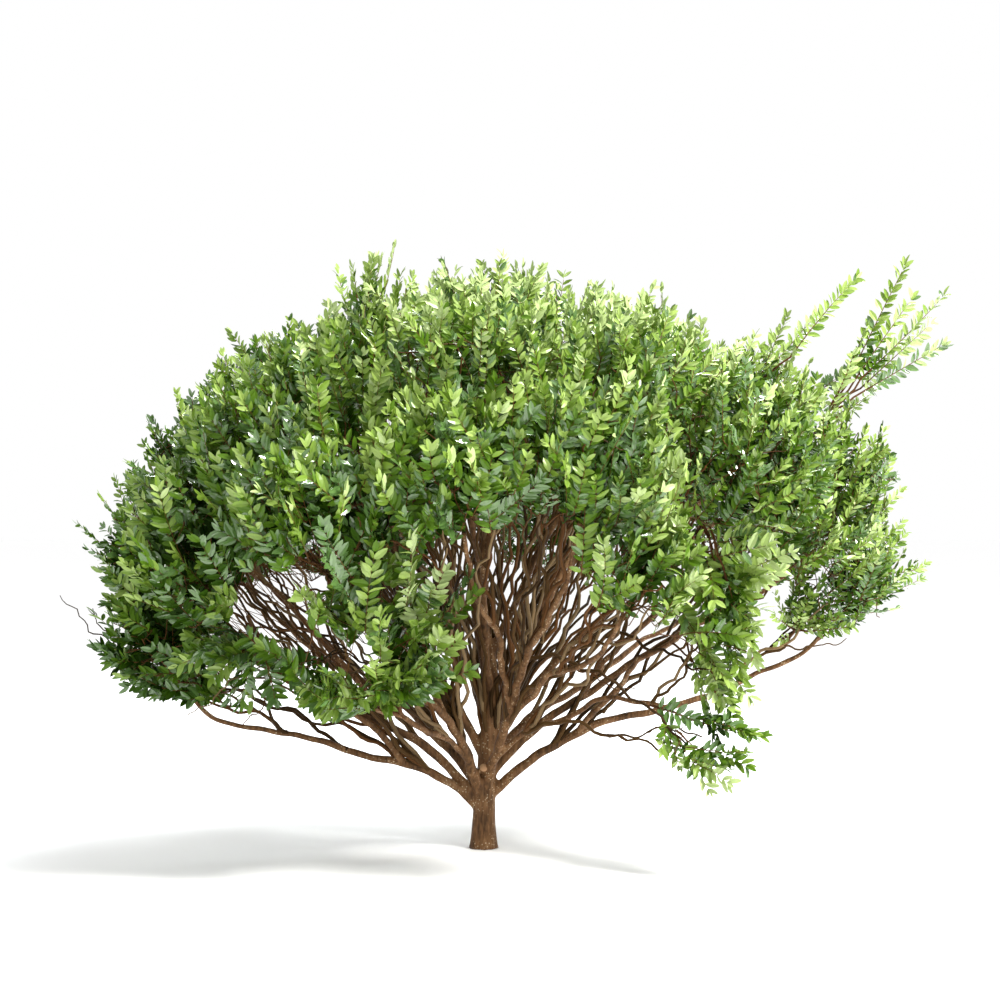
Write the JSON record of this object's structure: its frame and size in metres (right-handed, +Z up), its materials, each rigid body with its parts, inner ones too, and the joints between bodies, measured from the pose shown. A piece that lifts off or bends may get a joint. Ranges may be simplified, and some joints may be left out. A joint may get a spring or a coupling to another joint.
{
  "type": "spreading green-leaved shrub",
  "caption": "Broad domed garden shrub on one short trunk: sinuous boughs fan out low down under a crown of glossy green pointed-oval leaves, with loose sprays and a drooping tip.",
  "frame": {"origin": "centre of the flat cut under the trunk, at ground level", "axes": "+Z up the trunk, -Y towards the picture's viewer, +X to the viewer's right"},
  "size_m": [1.5735, 1.399, 1.0689],
  "materials": {
    "bark": "thin brown bark, fine cracks and pale specks, red-brown on young twigs",
    "foliage": "glossy green pointed-oval leaves on thin red-brown twigs"
  },
  "bodies": {
    "root": {"trunk": "bark", "bough_left_low": "bark", "bough_left_flank": "bark", "bough_front_left": "bark", "bough_right_low": "bark", "bough_back_left": "bark", "bough_front_right": "bark", "bough_back_centre_right": "bark", "bough_right_flank": "bark", "bough_back_right": "bark", "bough_left_shoulder": "bark", "bough_right_shoulder": "bark", "bough_back_upper_left": "bark", "bough_front_upper": "bark", "bough_crown_right": "bark", "bough_left_upper": "bark", "bough_left_front": "bark", "bough_front_left_low": "bark", "bough_spire_left": "bark", "bough_left_front_upper": "bark", "bough_front": "bark", "bough_front_right_low": "bark", "bough_front_upper_right": "bark", "bough_hanging": "bark", "bough_right_front": "bark", "bough_drooping_tip": "bark", "bough_right_spray": "bark", "bough_back_upper_right": "bark", "bough_back_centre_left": "bark", "foliage_left_low": "foliage", "foliage_left_flank": "foliage", "foliage_front_left": "foliage", "foliage_right_low": "foliage", "foliage_back_left": "foliage", "foliage_front_right": "foliage", "foliage_back_centre_right": "foliage", "foliage_right_flank": "foliage", "foliage_back_right": "foliage", "foliage_left_shoulder": "foliage", "foliage_right_shoulder": "foliage", "foliage_back_upper_left": "foliage", "foliage_front_upper": "foliage", "foliage_crown_right": "foliage", "foliage_crown_top": "foliage", "foliage_left_upper": "foliage", "foliage_left_front": "foliage", "foliage_front_left_low": "foliage", "foliage_spire_left": "foliage", "foliage_left_front_upper": "foliage", "foliage_front": "foliage", "foliage_front_right_low": "foliage", "foliage_front_upper_right": "foliage", "foliage_hanging": "foliage", "foliage_right_front": "foliage", "foliage_drooping_tip": "foliage", "foliage_right_spray": "foliage", "foliage_back_upper_right": "foliage", "foliage_back_centre_left": "foliage"}
  },
  "joints": []
}
